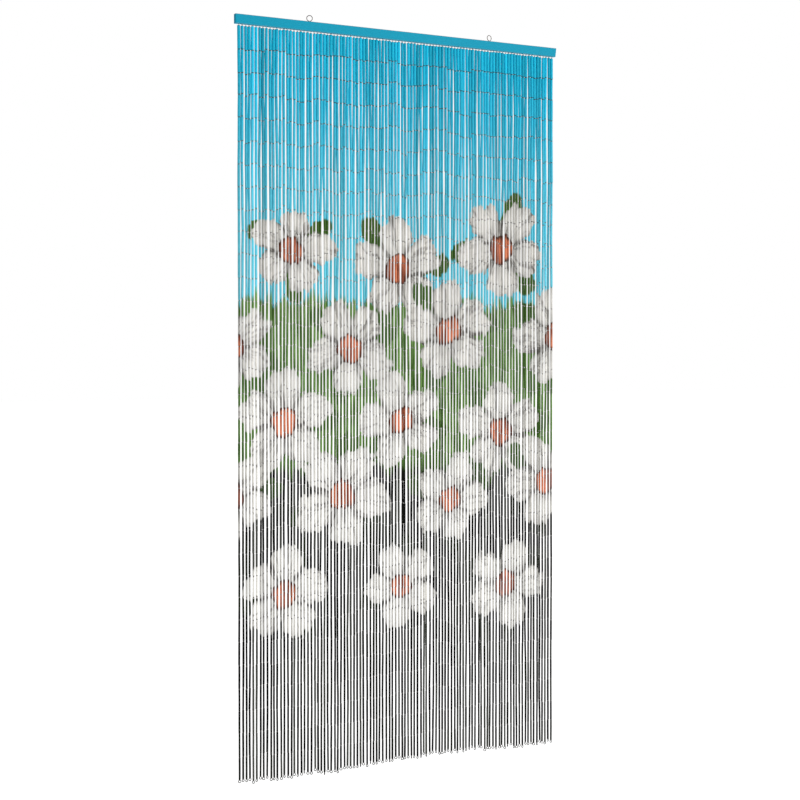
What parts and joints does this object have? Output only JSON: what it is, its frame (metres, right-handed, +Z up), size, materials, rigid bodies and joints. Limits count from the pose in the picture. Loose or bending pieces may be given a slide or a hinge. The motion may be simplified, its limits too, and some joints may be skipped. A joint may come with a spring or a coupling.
{
  "type": "bamboo door curtain with hanging rail",
  "caption": "Door curtain of painted bamboo bead strands that hang from a flat wooden rail with screw eyes on its top and end in small wire rings.",
  "frame": {"origin": "midway between the centres of the two screw-eye rings, which is 9 mm above the rail's top on its middle line", "axes": "+Z up, +X along the rail to the right as seen from the front, +Y towards the back, so the painted front faces -Y"},
  "size_m": [0.9999, 0.012, 2.0283],
  "materials": {
    "painted_wood": "planed batten, brushed with turquoise-blue satin paint, thin on the corners",
    "steel_wire": "dull drawn steel wire, slightly brown in the bends",
    "painted_bamboo": "bamboo cane beads, painted in blue, green, grey-white and near-black, bare tan cane at their ends"
  },
  "bodies": {
    "root": {"rail": "painted_wood", "eye_left": "steel_wire", "eye_right": "steel_wire", "strands": "painted_bamboo"}
  },
  "joints": []
}
